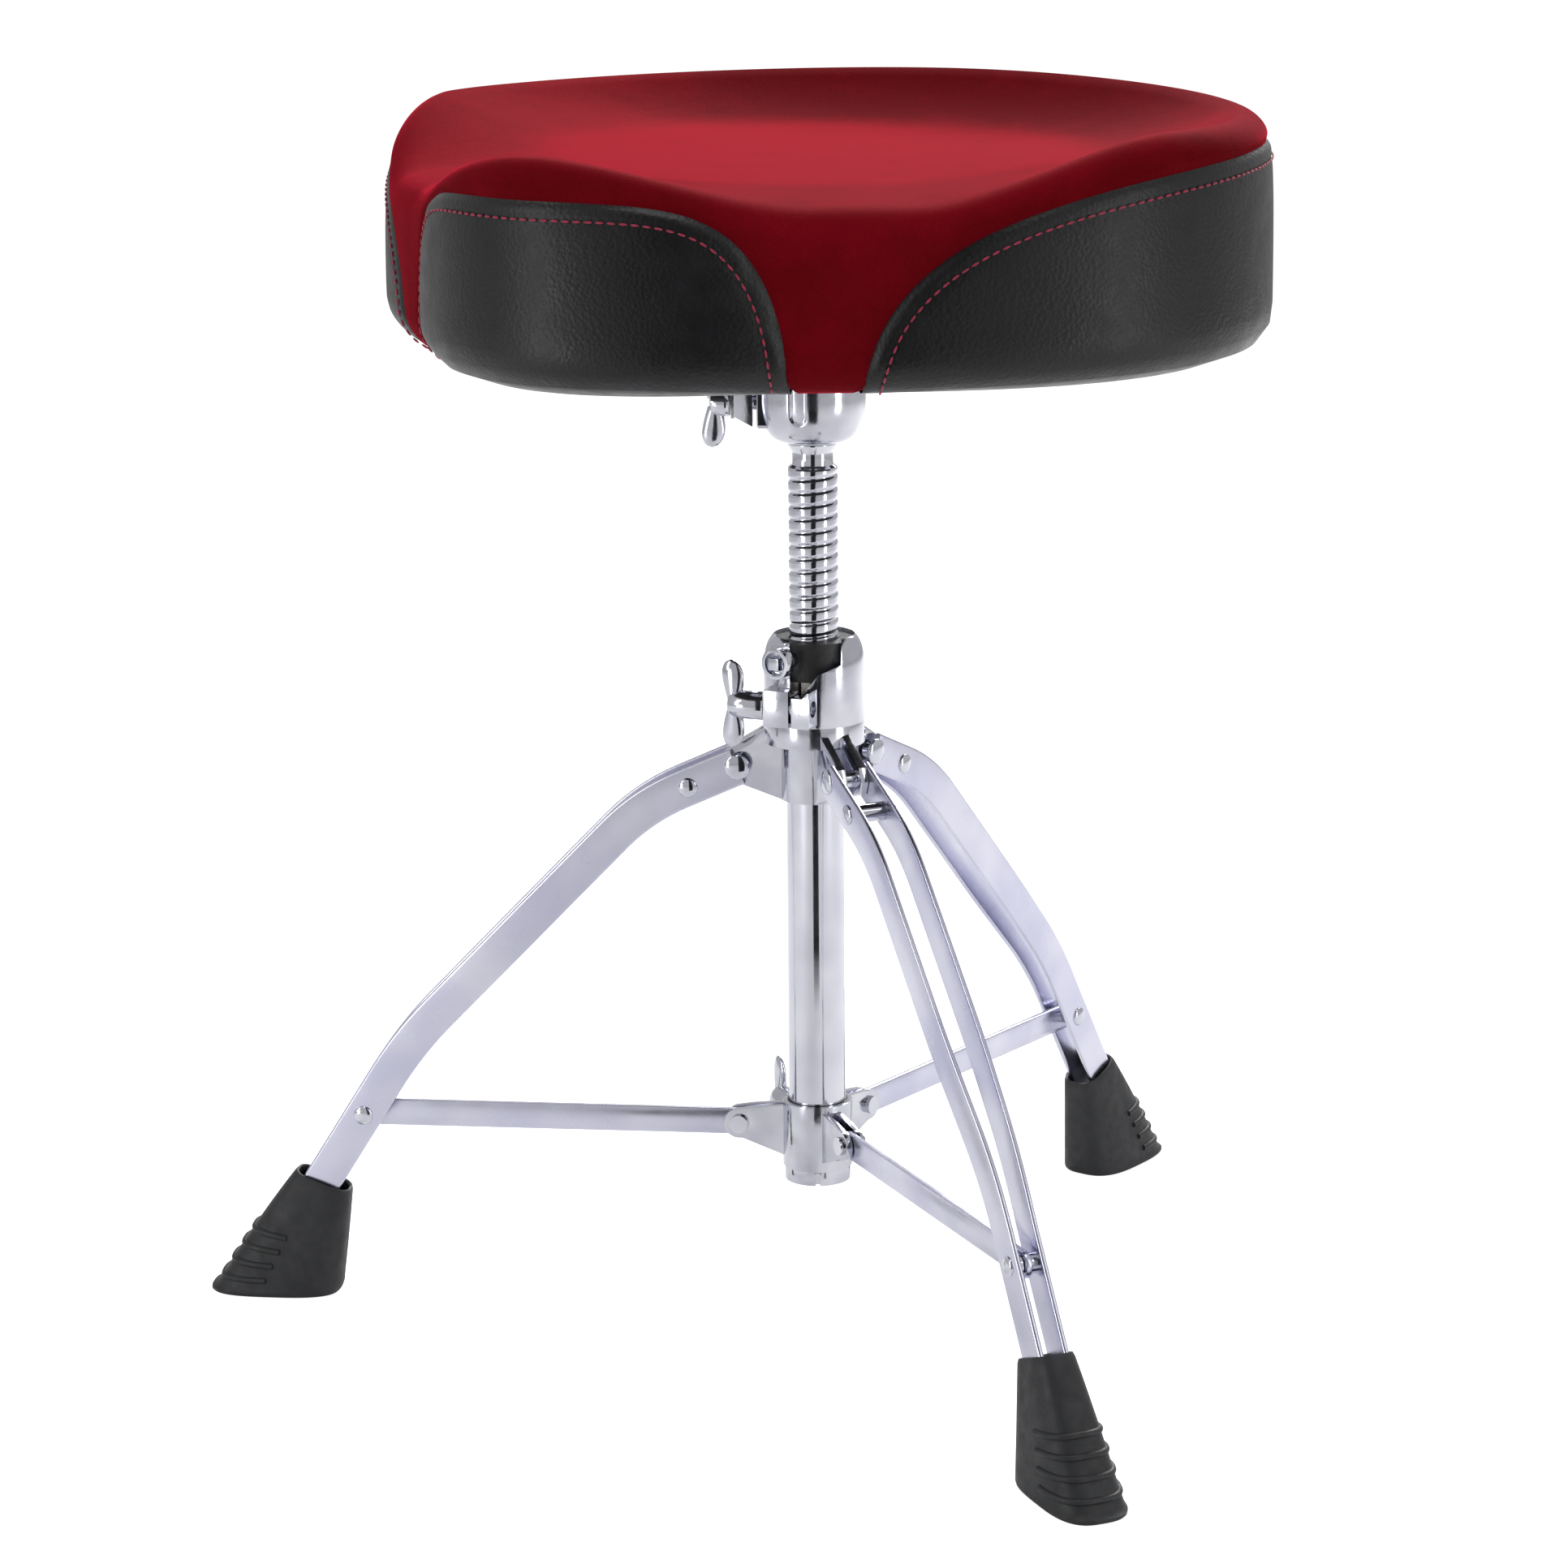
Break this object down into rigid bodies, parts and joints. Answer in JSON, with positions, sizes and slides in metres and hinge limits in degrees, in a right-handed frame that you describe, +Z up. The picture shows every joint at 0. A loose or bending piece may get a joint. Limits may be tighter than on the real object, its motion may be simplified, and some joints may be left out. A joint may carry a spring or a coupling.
{
  "type": "drum throne",
  "caption": "Folding drum throne: saddle seat with a soft top on a threaded height rod, over a double-braced tripod with ribbed rubber feet.",
  "frame": {"origin": "middle of the outline on the floor; the column stands at y = -0.0449 m", "axes": "+Z up, nose of the seat towards -Y, rear leg towards +Y"},
  "size_m": [0.5514, 0.5391, 0.6104],
  "materials": {
    "chrome_steel": "polished",
    "chrome_casting": "polished",
    "black_plastic": "moulded",
    "zinc_steel": "zinc plated",
    "brass_nut": "machined",
    "foot_rubber": "moulded",
    "plywood": "sanded",
    "dust_cloth": "woven",
    "foam": "open cell",
    "red_velour": "velour pile",
    "black_vinyl": "grained"
  },
  "bodies": {
    "base": {"base_tube": "chrome_steel", "tube_end_cap": "chrome_casting", "leg_collar": "chrome_casting", "collar_grub_screws": "zinc_steel", "nut_housing": "chrome_casting", "thread_nut": "brass_nut", "guide_bush": "black_plastic", "key_bolt": "chrome_casting"},
    "height_wing": {"height_wing_bolt": "chrome_casting"},
    "slider": {"stay_collar": "chrome_casting", "collar_liner": "black_plastic", "stay_pivot_pins": "chrome_steel"},
    "collar_wing": {"collar_wing_bolt": "chrome_casting"},
    "lift_guide": {"rod_guide": "black_plastic"},
    "seat_post": {"threaded_rod": "chrome_steel", "rod_end_washer": "zinc_steel", "rod_end_screw": "zinc_steel", "seat_hub": "chrome_casting", "clamp_jaw": "chrome_casting", "hub_wing_washer": "zinc_steel", "hub_screws": "zinc_steel", "tee_nuts": "zinc_steel", "seat_board": "plywood", "dust_cover": "dust_cloth", "foam_pad": "foam", "top_cover": "red_velour", "nose_panel": "black_vinyl", "rear_panel": "black_vinyl"},
    "hub_wing": {"hub_wing_bolt": "chrome_casting"},
    "rear_leg": {"rear_leg_strip_a": "chrome_steel", "rear_leg_strip_b": "chrome_steel", "rear_leg_pin": "chrome_steel", "rear_leg_spacer": "chrome_steel", "rear_stay_rivets": "chrome_steel", "rear_foot": "foot_rubber"},
    "rear_stay": {"rear_stay": "chrome_steel"},
    "left_leg": {"left_leg_strip_a": "chrome_steel", "left_leg_strip_b": "chrome_steel", "left_leg_pin": "chrome_steel", "left_leg_spacer": "chrome_steel", "left_stay_rivets": "chrome_steel", "left_foot": "foot_rubber"},
    "left_stay": {"left_stay": "chrome_steel"},
    "right_leg": {"right_leg_strip_a": "chrome_steel", "right_leg_strip_b": "chrome_steel", "right_leg_pin": "chrome_steel", "right_leg_spacer": "chrome_steel", "right_stay_rivets": "chrome_steel", "right_foot": "foot_rubber"},
    "right_stay": {"right_stay": "chrome_steel"}
  },
  "joints": [
    {"name": "rear_leg_fold", "type": "hinge", "parent": "base", "child": "rear_leg", "pos_m": [0, -0.00734, 0.28286], "axis": [-1, 0, 0], "range_deg": [0, 38]},
    {"name": "left_leg_fold", "type": "hinge", "parent": "base", "child": "left_leg", "pos_m": [0.03256, -0.06373, 0.28286], "axis": [0.5, 0.866, 0], "range_deg": [-0.5, 38.5]},
    {"name": "right_leg_fold", "type": "hinge", "parent": "base", "child": "right_leg", "pos_m": [-0.03256, -0.06373, 0.28286], "axis": [0.5, -0.866, 0], "range_deg": [-0.5, 38.5]},
    {"name": "slider_slide", "type": "slide", "parent": "base", "child": "slider", "axis": [0, 0, 1], "range_m": [-0.001, 0.1108]},
    {"name": "rear_stay_fold", "type": "hinge", "parent": "slider", "child": "rear_stay", "pos_m": [0, -0.00553, 0.09639], "axis": [-1, 0, 0], "range_deg": [-1, 80.1]},
    {"name": "left_stay_fold", "type": "hinge", "parent": "slider", "child": "left_stay", "pos_m": [0.03412, -0.06463, 0.09639], "axis": [0.5, 0.866, 0], "range_deg": [-1, 80.1]},
    {"name": "right_stay_fold", "type": "hinge", "parent": "slider", "child": "right_stay", "pos_m": [-0.03412, -0.06463, 0.09639], "axis": [0.5, -0.866, 0], "range_deg": [-1, 80.1]},
    {"name": "seat_lift", "type": "slide", "parent": "base", "child": "lift_guide", "axis": [0, 0, 1], "range_m": [-0.0785, 0.0785]},
    {"name": "seat_turn", "type": "hinge", "parent": "lift_guide", "child": "seat_post", "pos_m": [0, -0.04494, 0.45], "axis": [0, 0, 1], "range_deg": [-4320, 4320]},
    {"name": "height_wing_turn", "type": "hinge", "parent": "base", "child": "height_wing", "pos_m": [0.00725, -0.07198, 0.31686], "axis": [-0.9659, -0.2588, 0], "range_deg": [0, 1080]},
    {"name": "collar_wing_turn", "type": "hinge", "parent": "slider", "child": "collar_wing", "pos_m": [-0.02598, -0.02993, 0.09639], "axis": [-0.866, 0.5, 0], "range_deg": [0, 1080]},
    {"name": "hub_wing_turn", "type": "hinge", "parent": "seat_post", "child": "hub_wing", "pos_m": [-0.03236, -0.06845, 0.46346], "axis": [-0.809, -0.5878, 0], "range_deg": [0, 1080]}
  ],
  "couplings": [
    {"joint": "left_leg_fold", "follows": "rear_leg_fold", "ratio": 1},
    {"joint": "right_leg_fold", "follows": "rear_leg_fold", "ratio": 1},
    {"joint": "slider_slide", "follows": "rear_leg_fold", "m_per_rad": 0.1641},
    {"joint": "rear_stay_fold", "follows": "rear_leg_fold", "ratio": 2.0822},
    {"joint": "left_stay_fold", "follows": "rear_leg_fold", "ratio": 2.0822},
    {"joint": "right_stay_fold", "follows": "rear_leg_fold", "ratio": 2.0822},
    {"joint": "seat_lift", "follows": "seat_turn", "m_per_rad": 0.0010345}
  ]
}
